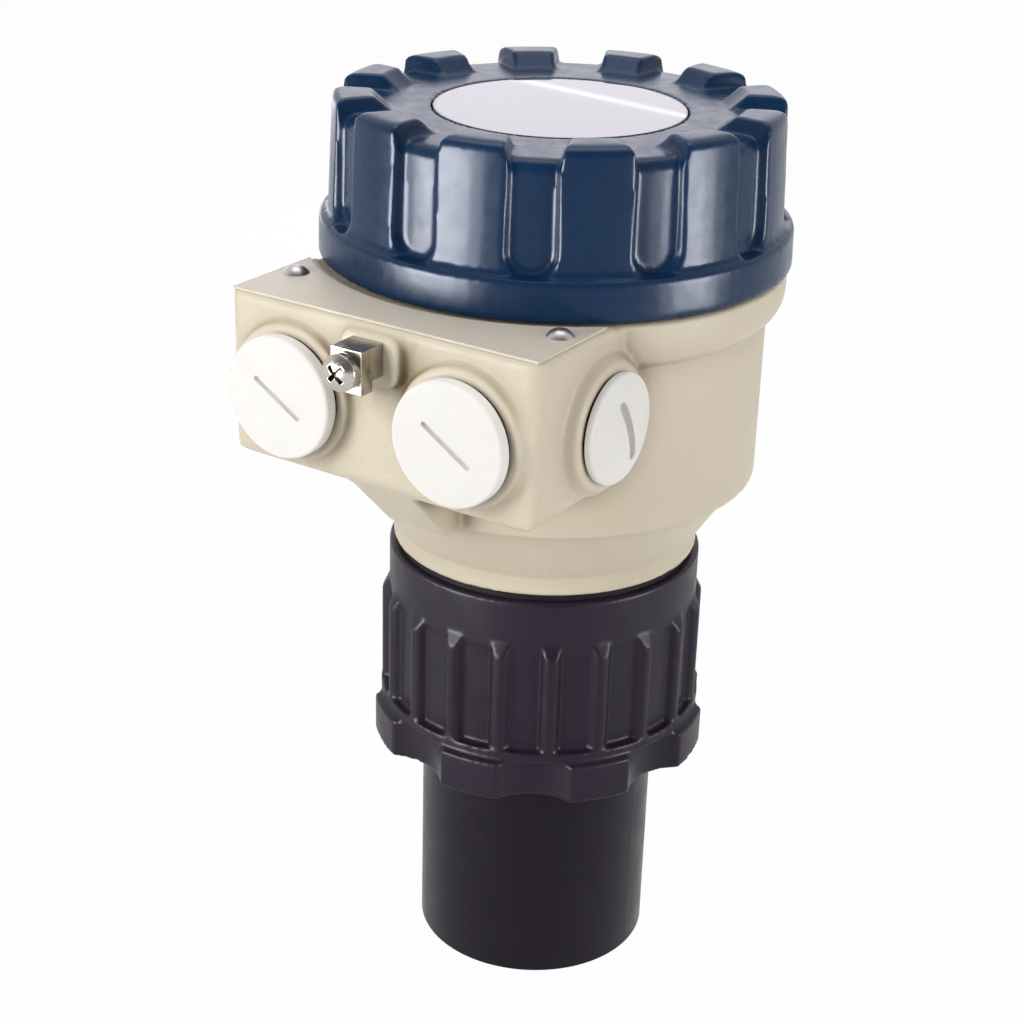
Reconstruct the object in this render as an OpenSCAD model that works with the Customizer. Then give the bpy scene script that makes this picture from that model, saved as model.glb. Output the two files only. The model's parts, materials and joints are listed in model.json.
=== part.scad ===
// Ultrasonic level sensor: a cast head with a screw cover, on a plastic process collar and a
// transducer tube. The origin is the centre of the tube's flat sensing face, +Z runs up the
// instrument's axis, and the terminal box faces -Y.

/* [Transducer tube] */
// Outer radius of the tube
tube_r = 29.5; // [28.5:0.1:31]
// Length of tube that shows below the collar's flange
tube_drop = 58.5; // [40:0.5:90]
// Wall of the tube
tube_wall = 2.6; // [2:0.1:3.4]
// Thickness of the sensing face
face_t = 2.5; // [1.5:0.1:4]
// How far the tube's seating flange stands out from its wall
tube_flange_out = 3; // [2:0.1:4]
// Height of the tube's seating flange
tube_flange_h = 3; // [2:0.1:5]
// Height of the ring that clamps the tube's flange
clamp_ring_h = 4; // [3:0.1:6]
// How much thicker the tube is inside the collar
tube_land = 0.3; // [0.2:0.1:0.6]

/* [Transducer] */
// Thickness of the acoustic matching layer
matching_t = 4; // [2:0.1:6]
// Width of the damping sleeve around the piezo disc
sleeve_w = 5.7; // [5:0.1:8]
// Thickness of the piezo disc
piezo_t = 8; // [4:0.5:12]
// Height of the damping sleeve
sleeve_h = 24; // [18:0.5:30]
// Height of the backing block above the piezo disc
backing_h = 26; // [16:0.5:35]
// Radius of the temperature sensor
sensor_r = 1.6; // [1:0.1:2]
// Length of the temperature sensor
sensor_len = 9; // [5:0.5:15]
// Radius of the transducer's lead
lead_r = 2; // [1.5:0.1:3]
// Radius of the plug on the lead
lead_plug_r = 5; // [4:0.1:8]
// Length of the plug on the lead
lead_plug_len = 9; // [6:0.5:12]

/* [Process collar] */
// Gap between the collar's chamber and the widest piece in it
chamber_gap = 0.9; // [0.5:0.1:2]
// Wall of the collar around its inner chamber
collar_wall = 3.6; // [3:0.1:5]
// How far the lobes of the flange stand out from the panels
flange_out = 4.2; // [3:0.1:8]
// Height of the lobed flange
flange_h = 9.9; // [7:0.1:14]
// Number of lobes on the flange
flange_lobes = 8; // [6:1:10]
// Width of a lobe's outer face, in degrees
flange_lobe_angle = 20.5; // [16:0.5:24]
// Depth of a scallop between two lobes
scallop_depth = 4.2; // [3:0.1:5]
// Height of the plain ring above the flange
ring_h = 2.6; // [1.5:0.1:5]
// How far the ribs stand out from the panels between them
rib_out = 2.2; // [1:0.1:3]
// How far the plain ring stands out past the ribs
ring_out = 0.2; // [0.1:0.1:1]
// Width of a rib where it stands on its panel
rib_w = 4.6; // [3:0.1:6]
// Number of ribs
rib_count = 20; // [12:1:24]
// Length of the ribbed stretch
rib_len = 26.7; // [18:0.1:40]
// Height of the sloped top of a rib
rib_slope_h = 3.4; // [2:0.1:6]
// How far the plain band above the ribs stands out from the panels
band_out = 0.35; // [0.3:0.05:0.8]
// Height of the plain band
band_h = 12.6; // [10:0.1:18]
// Height of the collar's bore around the tube
tube_bore_h = 13.5; // [8:0.5:20]
// Turn of the collar against the head at rest, in degrees
collar_turn = 53.6; // [0:0.1:90]

/* [Swivel joint] */
// Radius of the housing's spigot in the collar
spigot_r = 31; // [30:0.1:32]
// Length of the spigot below the neck
spigot_len = 24; // [20:0.5:28]
// Thickness of the washer between neck and collar
washer_t = 1.4; // [1:0.05:3]
// How far the washer stays inside the edge of the neck
washer_inset = 0.9; // [0.4:0.1:2]
// Section of the neck's O-ring
neck_oring_d = 2; // [1.5:0.1:2.4]
// Depth of the neck's O-ring below the neck
neck_oring_down = 7.5; // [5:0.5:10]
// Thickness of the circlip on the spigot
circlip_t = 2; // [1.5:0.1:3]
// Width of the circlip
circlip_w = 3.4; // [3:0.1:5]
// Depth of the circlip's groove
circlip_groove = 1; // [0.8:0.1:2]
// Opening of the circlip, in degrees
circlip_gap_angle = 24; // [15:1:40]

/* [Housing] */
// How far the neck stands out from the spigot
neck_out = 6.3; // [5:0.1:7]
// Height of the neck
neck_h = 4.65; // [2:0.05:10]
// Wall of the spigot around the bore through the neck
spigot_wall = 6; // [5:0.5:10]
// Slope of the cone above the neck, in degrees from level
under_angle = 57; // [45:1:65]
// How far the cone's upper end lies inside the body's outside
under_step = 2.6; // [2:0.1:4]
// Rounding of the body's lower edge
under_round = 1; // [0.5:0.1:1.5]
// Radius of the round body
body_r = 50.1; // [49:0.1:52]
// Height from the rounded lower edge to the top of the lip
body_h = 50.3; // [48:0.1:60]
// Wall of the round body
body_wall = 4.6; // [3:0.1:6]
// Height of the chamber's floor above the foot of the neck
floor_up = 19.25; // [16:0.25:22]
// How far the floor's edge lies inside the chamber's wall
floor_in = 3.5; // [2.5:0.1:5]
// How far the lip below the cover stands out from the body
lip_out = 3.95; // [3:0.05:4.5]
// Height of the upright edge of the lip
lip_h = 4.6; // [3:0.1:7]
// Radius of the rounding below the lip
lip_round = 7.5; // [5:0.1:10]
// How far the thread under the cover lies inside the body's outside
thread_in = 3.6; // [3:0.1:4]
// Height of the threaded mouth above the lip
mouth_h = 15.6; // [12:0.1:17]
// Wall of the threaded mouth
mouth_wall = 4; // [3:0.1:5]
// Height of the inner shoulder below the top of the lip
shoulder_down = 6; // [5:0.5:10]
// Section of the cover's O-ring
cover_oring_d = 1.7; // [1.2:0.1:2]

/* [Terminal box] */
// How far the front of the box stands out past the cover's rim
box_out = 14.5; // [12:0.1:20]
// Width of the box
box_w = 80; // [76:0.5:84]
// Height of the box
box_h = 37.9; // [36:0.1:42]
// Rise of the box's top above the lip
box_rise = 0.8; // [0.5:0.1:1.5]
// Wall of the box
box_wall = 4.5; // [3:0.1:6]
// Rounding of the lower side edges
box_round_low = 4.5; // [2:0.1:6]
// Rounding of the upper edges
box_round_top = 1; // [0.5:0.1:1.5]
// Rounding of the upright front edges
box_round_front = 3; // [1.5:0.1:5]
// Width of the wedge below the box
wedge_w = 16.6; // [10:0.1:24]
// Height of the wedge below the box
wedge_h = 14; // [10:0.5:16]
// How far the wedge's lower end stands out from the body
wedge_out = 3.9; // [2:0.1:8]
// Inset of the wedge's upper end behind the box's front
wedge_inset = 1.6; // [1:0.1:4]

/* [Cable entries] */
// Distance of the two front entries from the sides of the box
front_entry_in = 18; // [16:0.1:19]
// Height of the front entries above the box's underside
front_entry_up = 18.5; // [17:0.1:20]
// Radius of the front bosses
front_boss_r = 16; // [15:0.1:17]
// Height of the front bosses
front_boss_h = 2.3; // [1.5:0.1:4]
// Radius of the front plugs' heads
front_head_r = 13.7; // [12.5:0.1:14.5]
// Thickness of the front plugs' heads
front_head_t = 2.9; // [2:0.1:4]
// Thickness of the front plugs' gaskets
front_gasket_t = 1.1; // [0.6:0.1:2]
// Distance of the side entries behind the front of the box
side_entry_in = 25.7; // [24:0.1:27]
// Height of the side entries above the box's underside
side_entry_up = 17.3; // [16:0.1:19]
// Radius of the side bosses at their foot
side_boss_r = 16; // [15:0.1:17]
// Height of the side bosses
side_boss_h = 2.5; // [1.5:0.1:4]
// Radius of the side plugs' heads
side_head_r = 12.25; // [11.7:0.05:13]
// Thickness of the side plugs' heads at their edge
side_head_t = 1.7; // [1.5:0.1:4]
// Height of the dome on a side plug's head
side_dome_h = 2.3; // [1:0.1:3]
// Thickness of the side plugs' gaskets
side_gasket_t = 0.7; // [0.5:0.1:2]
// Slope of a boss's flank, as inset of its top edge
boss_draft = 0.8; // [0.2:0.1:1.5]
// Inset of the side bosses' top edge
side_boss_draft = 2.1; // [1:0.1:2.5]
// Radius of the entries' threads
entry_r = 10; // [9:0.1:10.5]
// Length of the plugs' shanks
shank_len = 10.5; // [8:0.1:12]
// Inset of a gasket's edge behind the plug's edge
gasket_inset = 0.5; // [0.2:0.1:1]
// Length of the slot in a front plug
front_slot_len = 14; // [10:0.5:18]
// Width of the slot in a front plug
front_slot_w = 1.1; // [0.8:0.1:2]
// Length of the slot in a side plug
side_slot_len = 15.3; // [10:0.1:17]
// Width of the slot in a side plug
side_slot_w = 2.2; // [1.5:0.1:3]
// Depth of the slots in the front plugs
front_slot_depth = 1.2; // [0.8:0.1:1.4]
// Depth of the slots in the side plugs, from the top of their dome
side_slot_depth = 2.8; // [2:0.1:3.2]
// Tilt of the slots in the front plugs, in degrees
front_slot_tilt = -32; // [-90:1:90]
// Tilt of the slots in the side plugs, in degrees
side_slot_tilt = -68; // [-90:1:90]
// Rounding of the plugs' edges
plug_edge = 0.7; // [0.3:0.1:1]

/* [Nameplate] */
// Thickness of the nameplate
plate_t = 0.6; // [0.4:0.1:1]
// Inset of the nameplate from the sides of the box
plate_inset = 0.8; // [0.5:0.1:2]
// Gap between the nameplate and the cover's rim
plate_gap = 2.5; // [1.5:0.1:4]
// Radius of a rivet's dome
rivet_r = 3; // [2:0.1:3.5]
// Height of a rivet's dome
rivet_h = 1.7; // [1:0.1:2.5]
// Radius of a rivet's shank
rivet_shank_r = 1.3; // [1:0.1:1.8]
// Length of a rivet's shank below the plate
rivet_shank_len = 2.6; // [2:0.1:3]
// Distance of the rivets from the sides of the box
rivet_in = 5.5; // [4.5:0.1:7]
// Distance of the rivets behind the front of the box
rivet_back = 16.5; // [12:0.1:18]

/* [Earth terminal] */
// Width of the earth pad
pad_w = 15.2; // [12:0.1:16]
// Height of the earth pad
pad_h = 11.4; // [10:0.1:12]
// How far the earth pad stands out
pad_out = 3; // [2:0.1:4]
// Rounding of the earth pad's corners
pad_round = 3.5; // [1:0.1:4.5]
// Height of the earth screw below the top of the box
earth_down = 6.6; // [6:0.1:8]
// Width of the saddle
saddle_w = 7.8; // [7:0.1:9]
// Height of the saddle
saddle_h = 9.5; // [9:0.1:11]
// Depth of the saddle
saddle_d = 7.5; // [5:0.1:9]
// Sheet thickness of the saddle
saddle_t = 0.9; // [0.7:0.1:1.2]
// Height of the saddle's top above the screw
saddle_up = 4.5; // [4:0.1:5]
// How much shorter the saddle's side walls are in their back half
saddle_step = 2.4; // [1:0.1:3.5]
// Radius of the earth screw's thread
earth_screw_r = 2; // [1.5:0.1:2.5]
// Radius of the earth screw's head
earth_head_r = 4.1; // [3.5:0.1:4.5]
// Height of the earth screw's head
earth_head_h = 3; // [2:0.1:3.5]
// Thickness of the earth washer
earth_washer_t = 1; // [0.6:0.1:1.5]
// Inset of the earth washer's edge behind the head's edge
earth_washer_inset = 0.3; // [0.1:0.1:0.8]
// Length of the earth screw's thread in the pad
earth_grip = 5; // [4:0.5:6]
// Length of the cross recess in the earth screw
cross_len = 4.6; // [3:0.1:5.5]
// Width of the cross recess in the earth screw
cross_w = 1; // [0.6:0.1:1.4]
// Depth of the cross recess in the earth screw
cross_depth = 1.6; // [1:0.1:1.8]

/* [Cover] */
// Gap between the lip and the cover's rim
cover_gap = 1; // [0.5:0.1:2]
// How far the cover's rim stands out past the lip
rim_over = 0.95; // [0.5:0.05:3]
// Height of the rim
rim_h = 9; // [7:0.1:10]
// Rounding of the rim's upper edge
rim_round = 0.8; // [0.4:0.1:1.2]
// Chamfer of the rim's lower edge
rim_chamfer = 0.4; // [0.2:0.1:0.8]
// Draw of the rim towards its upper edge
rim_draw = 0.2; // [0:0.1:0.5]
// Height of the sealing bore inside the rim
seal_bore_h = 3; // [2.5:0.1:4]
// Height from the rim's lower edge to the flat top
cover_h = 33.1; // [30:0.1:40]
// How far the lobes' foot lies inside the rim
lobe_in = 2.2; // [1.8:0.1:2.8]
// Draw of the lobes towards their shoulder
lobe_draw = 1.2; // [0.6:0.1:1.6]
// Rise of the lobes above the flat top
lobe_rise = 3.5; // [2.5:0.1:4.5]
// Height of a lobe's rounded shoulder
shoulder_h = 1.5; // [1:0.1:2]
// Depth of a lobe's rounded shoulder
shoulder_d = 3.4; // [2:0.1:4]
// Length of a lobe's top
lobe_len = 8.8; // [7:0.1:10]
// Length of the ramp at a lobe's inner end
ramp_len = 4.2; // [2:0.1:5]
// Number of lobes on the cover
lobe_count = 12; // [8:1:12]
// Turn of the lobes on the closed cover, in degrees
lobe_turn = 11; // [0:0.5:30]
// Depth of the scoops at the lobes' foot
scoop_depth = 2.6; // [2:0.1:3]
// Draw of the scoops' floor towards the top
scoop_draw = 0.5; // [0:0.1:0.8]
// Half width of a scoop at its floor
scoop_half_w = 5; // [4:0.1:5.4]
// Widening of a scoop towards its mouth
scoop_flare = 1.1; // [0.5:0.1:1.5]
// Height of the scoops' lower end above the rim
scoop_up = 0.1; // [0:0.1:3]
// Rounding between the wall and the flat top
top_round = 2.6; // [1.5:0.1:3.2]
// Step between the inner thread and the hollow above it
hollow_step = 1; // [0.5:0.1:2]
// Thickness of the cover's top
top_t = 10.5; // [10:0.1:12]
// Height of the inner thread
inner_thread_h = 17; // [16.5:0.1:18.5]

/* [Window] */
// Radius of the window glass that shows
glass_r = 29; // [24:0.1:30]
// Thickness of the glass above its flange
glass_t = 4.6; // [3:0.1:5]
// How far the glass's flange stands out
glass_flange_out = 4.5; // [3.5:0.1:5.5]
// Height of the glass's flange
glass_flange_h = 3; // [2:0.1:3.4]
// Thickness of the window gasket
window_gasket_t = 0.8; // [0.5:0.1:1.2]
// Depth of the glass below the flat top
glass_sink = 0.1; // [0:0.05:0.5]
// Height of the window's retaining ring
window_ring_h = 2.6; // [2:0.1:3]
// Width of the window's retaining ring
window_ring_w = 5; // [4:0.1:6]

/* [Electronics] */
// Gap between the main board and the wall
board_gap = 4; // [3:0.1:6]
// Thickness of the main board
board_t = 1.6; // [1:0.1:2]
// Height of the posts under the main board
post_h = 14; // [11:0.5:16]
// Radius of a post under the main board
post_r = 3; // [2.5:0.1:4]
// Distance of the posts from the board's edge
post_in = 6.5; // [5:0.5:8]
// Radius of a board screw's thread
board_screw_r = 1.4; // [1:0.1:1.6]
// Radius of a board screw's head
board_head_r = 2.7; // [2.4:0.1:3]
// Height of a board screw's head
board_head_h = 2; // [1.5:0.1:2.5]
// Length of a board screw's thread in its post
board_screw_grip = 6; // [4:0.5:8]
// Gap between the terminal block and the board screws beside it
terminal_gap = 1.05; // [0.8:0.05:3]
// Depth of the terminal block
terminal_d = 11; // [9:0.5:12]
// Height of the terminal block
terminal_h = 13; // [10:0.5:15]
// Distance of the terminal block's front from the board's edge
terminal_in = 9.5; // [8.5:0.5:12]
// Number of terminals
terminal_count = 6; // [4:1:6]
// Radius of a terminal screw's head
terminal_screw_r = 1.9; // [1.5:0.1:2.2]
// Height of a terminal screw's head
terminal_screw_h = 1.6; // [1.2:0.1:2]
// Width of a terminal's wire opening
wire_w = 4; // [3:0.1:4.4]
// Height of a terminal's wire opening
wire_h = 4; // [3:0.1:5]
// Width of the shield can
can_w = 34; // [24:0.5:40]
// Depth of the shield can
can_d = 24; // [16:0.5:26]
// Height of the shield can
can_h = 9; // [6:0.5:12]
// Distance of the shield can's front behind the axis
can_back = 2; // [1:0.5:4]
// Gap between the display case and the mouth around it
display_side_gap = 4.5; // [3:0.5:6]
// Height of the display case
display_h = 12; // [8:0.5:16]
// Gap between the display case and the window ring
display_gap = 4.3; // [3:0.1:6]
// Radius of a display post
display_post_r = 2.5; // [2:0.1:3]
// Distance of the display posts from the display case's edge
display_post_in = 9; // [7:0.5:10]
// Width of the screen
screen_w = 42; // [36:0.5:46]
// Height of the screen
screen_d = 24; // [18:0.5:28]
// Thickness of the screen
screen_t = 2; // [1:0.1:3]

/* [Fits] */
// Gap between round faces that turn in each other
turn_gap = 0.3; // [0.2:0.05:0.4]
// Gap between a seal and the bore that it seals
seal_gap = 0.05; // [0.02:0.01:0.1]
// Gap between pieces that are fixed in each other
seat_gap = 0.1; // [0.05:0.05:0.2]

/* [Hidden] */
$fn = 96;

// Colours
black_plastic = "#3b343d";
cream_paint = "#d8cdb6";
navy_paint = "#27405f";
white_plastic = "#f1efec";
nickel = "#c9c4bd";
rubber_black = "#17161a";
plate_grey = "#cdc6b8";
board_green = "#2d6b46";
pale_glass = "#dcd9e2";

// A little more than nothing, so that cuts pass clean through
cut = 0.5;
// How deep a raised shape is sunk in the body that carries it
sink = 1;
// Number of straight steps in a quarter of a rounded outline
round_steps = 8;
// Angle of the four posts under the main board
post_angle = 45;

// Heights of the collar
flange_z = tube_drop;
ring_z = flange_z + flange_h;
ribs_z = ring_z + ring_h;
band_z = ribs_z + rib_len;
collar_top_z = band_z + band_h;
tube_seat_z = flange_z + tube_bore_h;
clamp_z = tube_seat_z + tube_flange_h;

// Radii of the tube and of what lies in it
tube_land_r = tube_r + tube_land;
tube_flange_r = tube_r + tube_flange_out;
tube_inner_r = tube_r - tube_wall;
lining_r = tube_inner_r - seat_gap;
piezo_r = lining_r - sleeve_w - seat_gap;

// Radii of the collar, from its inside out
circlip_inner_r = spigot_r - circlip_groove + seat_gap;
circlip_r = circlip_inner_r + circlip_w;
tube_bore_r = tube_land_r + seat_gap;
collar_chamber_r = max(tube_flange_r, circlip_r) + chamber_gap;
collar_bore_r = spigot_r + turn_gap;
panel_r = collar_chamber_r + collar_wall;
band_r = panel_r + band_out;
rib_r = panel_r + rib_out;
flange_r = panel_r + flange_out;
scallop_floor_r = flange_r - scallop_depth;

// Radii of the head and of its cover
lip_r = body_r + lip_out;
thread_r = body_r - thread_in;
chamber_r = body_r - body_wall;
mid_wall_r = body_r - body_wall / 2;
mouth_r = thread_r - mouth_wall;
neck_r = spigot_r + neck_out;
neck_bore_r = spigot_r - spigot_wall;
rim_r = lip_r + rim_over;
lobe_foot_r = rim_r - lobe_in;
lobe_top_r = lobe_foot_r - lobe_draw;
lobe_inner_r = lobe_top_r - lobe_len;
scoop_r = lobe_foot_r - scoop_depth;
inner_thread_r = thread_r + turn_gap;
seal_bore_r = inner_thread_r + turn_gap;
hollow_r = inner_thread_r - hollow_step;

// Heights of the housing
washer_z = collar_top_z + seal_gap;
neck_z = washer_z + washer_t;
cone_z = neck_z + neck_h;
cone_top_r = body_r - under_step;
round_z = cone_z + (cone_top_r - neck_r) * tan(under_angle);
wall_z = round_z + under_round;
lip_z = wall_z + body_h;
mouth_z = lip_z + mouth_h;
floor_z = neck_z + floor_up;
shoulder_z = lip_z - shoulder_down;
box_top_z = lip_z + box_rise;
box_z = box_top_z - box_h;
spigot_z = neck_z - spigot_len;
neck_oring_z = neck_z - neck_oring_down;
circlip_z = band_z - turn_gap - circlip_t;
neck_oring_r = collar_bore_r - seal_gap - neck_oring_d / 2;
cover_oring_z = lip_z + cover_gap + cover_oring_d / 2;
cover_oring_r = thread_r + turn_gap - cover_oring_d / 2;

// Places on the terminal box
box_half = box_w / 2;
box_front = rim_r + box_out;
wedge_foot = body_r + wedge_out;
rivet_x = box_half - rivet_in;
rivet_y = box_front - rivet_back;
front_entry_x = box_half - front_entry_in;
side_entry_y = box_front - side_entry_in;
front_entry_z = box_z + front_entry_up;
side_entry_z = box_z + side_entry_up;
entry_bore_r = entry_r + turn_gap;

// Earth terminal
earth_z = box_top_z - earth_down;
earth_hole_r = earth_screw_r + turn_gap;

// Heights of the cover
rim_z = lip_z + cover_gap;
top_z = rim_z + cover_h;
hollow_top_z = top_z - top_t;
glass_top_z = top_z - glass_sink;
glass_step_z = glass_top_z - glass_t;
window_seat_z = glass_step_z + window_gasket_t;
glass_foot_z = glass_step_z - glass_flange_h;
window_ring_z = glass_foot_z - window_ring_h;
glass_hole_r = glass_r + turn_gap;
glass_flange_r = glass_r + glass_flange_out;
window_bore_r = glass_flange_r + turn_gap;

// Places of the electronics
board_r = chamber_r - board_gap;
post_place = board_r - post_in;
terminal_front = board_r - terminal_in;
terminal_w = 2 * (post_place * cos(post_angle) - board_head_r - terminal_gap);
display_r = mouth_r - display_side_gap;
display_post_x = display_r - display_post_in;
board_z = floor_z + post_h;
board_top_z = board_z + board_t;
display_top_z = window_ring_z - display_gap;
display_z = display_top_z - display_h;

// Points of an arc about c, from angle a to angle b
function arc(c, r, a, b, steps = round_steps) =
    [for (i = [0:steps]) c + r * [cos(a + (b - a) * i / steps), sin(a + (b - a) * i / steps)]];

// Outline of a rectangle from p to q, with its corner roundings from low left round to top left
function rounded(p, q, r) = concat(
    arc([p.x + r[0], p.y + r[0]], r[0], 180, 270),
    arc([q.x - r[1], p.y + r[1]], r[1], 270, 360),
    arc([q.x - r[2], q.y - r[2]], r[2], 0, 90),
    arc([p.x + r[3], q.y - r[3]], r[3], 90, 180));

// A ring about the axis between two radii and two heights
module ring(r_in, r_out, z0, z1) {
    rotate_extrude() translate([r_in, z0]) square([r_out - r_in, z1 - z0]);
}

// A ring of round section
module round_ring(r, d, z) {
    translate([0, 0, z]) rotate_extrude() translate([r, 0]) circle(d = d, $fn = 32);
}

// Copies of the children around the axis
module around(n, start = 0) {
    for (i = [0:n - 1]) rotate([0, 0, start + i * 360 / n]) children();
}

// Turns a shape that stands on +Z so that it stands on the box's front or side
module on_front(x, z) { translate([x, -box_front, z]) rotate([90, 0, 0]) children(); }
module on_right(z) { translate([box_half, -side_entry_y, z]) rotate([90, 0, 90]) children(); }
module on_left(z) { mirror([1, 0, 0]) on_right(z) children(); }

// Transducer

module transducer_tube() {
    color(black_plastic) rotate_extrude() polygon([
        [0, 0], [tube_r, 0], [tube_r, flange_z], [tube_land_r, flange_z], [tube_land_r, tube_seat_z],
        [tube_flange_r, tube_seat_z], [tube_flange_r, clamp_z], [tube_inner_r, clamp_z],
        [tube_inner_r, face_t], [0, face_t]
    ]);
}

// One rib: a round bar sunk in the panel, so that it stands out rounded
module rib() {
    bar_r = (rib_out * rib_out + rib_w * rib_w / 4) / (2 * rib_out);
    foot_z = ring_z + ring_h / 2;
    translate([rib_r - bar_r, 0, foot_z])
        cylinder(r = bar_r, h = band_z + rib_slope_h - foot_z, $fn = 48);
}

module process_collar() {
    half_gap = 180 / flange_lobes - flange_lobe_angle / 2;
    chord = flange_r * sin(half_gap);
    depth = flange_r * cos(half_gap) - scallop_floor_r;
    scallop_r = (chord * chord + depth * depth) / (2 * depth);
    slope_half = rib_slope_h / 2;
    slope = rib_slope_h / (rib_r - band_r);
    sunk_r = panel_r - collar_wall / 2;
    color(black_plastic) rotate([0, 0, collar_turn - 90]) difference() {
        union() {
            difference() {
                ring(tube_bore_r - cut, flange_r, flange_z, ring_z);
                around(flange_lobes, 180 / flange_lobes)
                    translate([scallop_floor_r + scallop_r, 0, flange_z - cut])
                        cylinder(r = scallop_r, h = flange_h + 2 * cut);
            }
            ring(tube_bore_r - cut, rib_r + ring_out, ring_z, ribs_z);
            ring(tube_bore_r - cut, panel_r, ribs_z, band_z);
            ring(tube_bore_r - cut, band_r, band_z, collar_top_z);
            intersection() {
                around(rib_count) rib();
                rotate_extrude() polygon([
                    [sunk_r, ring_z], [rib_r + cut, ring_z],
                    [rib_r + cut, band_z - slope_half - slope * cut],
                    [band_r - cut, band_z + slope_half + slope * cut],
                    [sunk_r, band_z + slope_half + slope * cut]
                ]);
            }
        }
        translate([0, 0, flange_z - cut]) cylinder(r = tube_bore_r, h = tube_bore_h + 2 * cut);
        translate([0, 0, tube_seat_z]) cylinder(r = collar_chamber_r, h = band_z - tube_seat_z);
        translate([0, 0, tube_seat_z]) cylinder(r = collar_bore_r, h = collar_top_z - tube_seat_z + cut);
    }
}

module tube_clamp_ring() {
    color(black_plastic) ring(tube_r, collar_chamber_r - seat_gap, clamp_z, clamp_z + clamp_ring_h);
}

module matching_layer() {
    color(plate_grey) translate([0, 0, face_t]) cylinder(r = lining_r, h = matching_t);
}

module piezo_disc() {
    color(nickel) translate([0, 0, face_t + matching_t]) cylinder(r = piezo_r, h = piezo_t);
}

module damping_sleeve() {
    base = face_t + matching_t;
    color(rubber_black) difference() {
        ring(piezo_r + seat_gap, lining_r, base, base + sleeve_h);
        translate([lining_r - sleeve_w / 2, 0, base - cut])
            cylinder(r = sensor_r + seat_gap, h = sleeve_h + 2 * cut, $fn = 32);
    }
}

module backing_block() {
    color(plate_grey) translate([0, 0, face_t + matching_t + piezo_t])
        cylinder(r = piezo_r, h = backing_h);
}

module temperature_sensor() {
    color(rubber_black) translate([lining_r - sleeve_w / 2, 0, face_t + matching_t])
        cylinder(r = sensor_r, h = sensor_len);
}

module transducer_lead() {
    start = face_t + matching_t + piezo_t + backing_h;
    end = board_z - seat_gap;
    color(rubber_black) union() {
        translate([0, 0, start]) cylinder(r = lead_r, h = end - start);
        translate([0, 0, end - lead_plug_len]) cylinder(r = lead_plug_r, h = lead_plug_len);
    }
}

// Head

// Outside of the round pot, from the spigot to the threaded mouth
module pot() {
    lip_angle = acos((lip_round - lip_out) / lip_round);
    rotate_extrude() polygon(concat(
        [[0, spigot_z], [spigot_r, spigot_z], [spigot_r, neck_z], [neck_r, neck_z], [neck_r, cone_z],
            [cone_top_r, round_z]],
        arc([body_r - under_round, wall_z], under_round, -90, 0),
        arc([lip_r - lip_round, lip_z - lip_h], lip_round, -lip_angle, 0),
        [[lip_r, lip_z], [thread_r, lip_z], [thread_r, mouth_z], [0, mouth_z]]));
}

// Outside of the terminal box: three rounded outlines crossed
module box_block() {
    back = sqrt(mid_wall_r * mid_wall_r - box_half * box_half);
    intersection() {
        translate([0, -back, 0]) rotate([90, 0, 0]) linear_extrude(box_front - back)
            polygon(rounded([-box_half, box_z], [box_half, box_top_z],
                [box_round_low, box_round_low, box_round_top, box_round_top]));
        translate([0, 0, box_z]) linear_extrude(box_h)
            polygon(rounded([-box_half, -box_front], [box_half, 0],
                [box_round_front, box_round_front, box_round_top, box_round_top]));
        translate([-box_half, 0, 0]) rotate([90, 0, 90]) linear_extrude(box_w)
            polygon(rounded([-box_front, box_z], [0, box_top_z],
                [box_round_front, box_round_top, box_round_top, box_round_top]));
    }
}

// Wedge that carries the box's underside on the pot
module wedge() {
    translate([-wedge_w / 2, 0, 0]) rotate([90, 0, 90]) linear_extrude(wedge_w)
        polygon([
            [wedge_inset - box_front, box_z + box_round_front], [wedge_inset - box_front, box_z],
            [-wedge_foot, box_z - wedge_h], [-mid_wall_r, box_z - wedge_h],
            [-mid_wall_r, box_z + box_round_front]
        ]);
}

module boss(r, h, draft) { cylinder(r1 = r, r2 = r - draft, h = h); }

module earth_pad() {
    translate([0, 0, -box_wall / 2]) linear_extrude(pad_out + box_wall / 2)
        polygon(rounded([-pad_w / 2, -pad_h / 2], [pad_w / 2, pad_h / 2],
            [pad_round, pad_round, pad_round, pad_round]));
}

// Hollow of the pot and of the terminal box
module head_hollow() {
    rotate_extrude() polygon([
        [0, floor_z], [chamber_r - floor_in, floor_z],
        [chamber_r, floor_z + floor_in * tan(under_angle)], [chamber_r, shoulder_z],
        [mouth_r, shoulder_z + chamber_r - mouth_r], [mouth_r, mouth_z + cut], [0, mouth_z + cut]
    ]);
    translate([0, 0, spigot_z - cut]) cylinder(r = neck_bore_r, h = floor_z - spigot_z + 2 * cut);
    translate([box_wall - box_half, box_wall - box_front, box_z + box_wall])
        cube([box_w - 2 * box_wall, box_front - box_wall - chamber_r / 2, box_h - 2 * box_wall]);
}

// Square groove for an O-ring in a round outside of the given radius
module seal_groove(r, d, z, outer_r) {
    half = d / 2 + seal_gap;
    ring(r - half, outer_r + cut, z - half, z + half);
}

module entry_bore(depth) {
    translate([0, 0, -depth]) cylinder(r = entry_bore_r, h = depth + body_wall * 2);
}

// The posts that carry the main board
module board_posts() {
    around(4, post_angle) translate([post_place, 0, floor_z - cut])
        cylinder(r = post_r, h = post_h + cut, $fn = 48);
}

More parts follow.
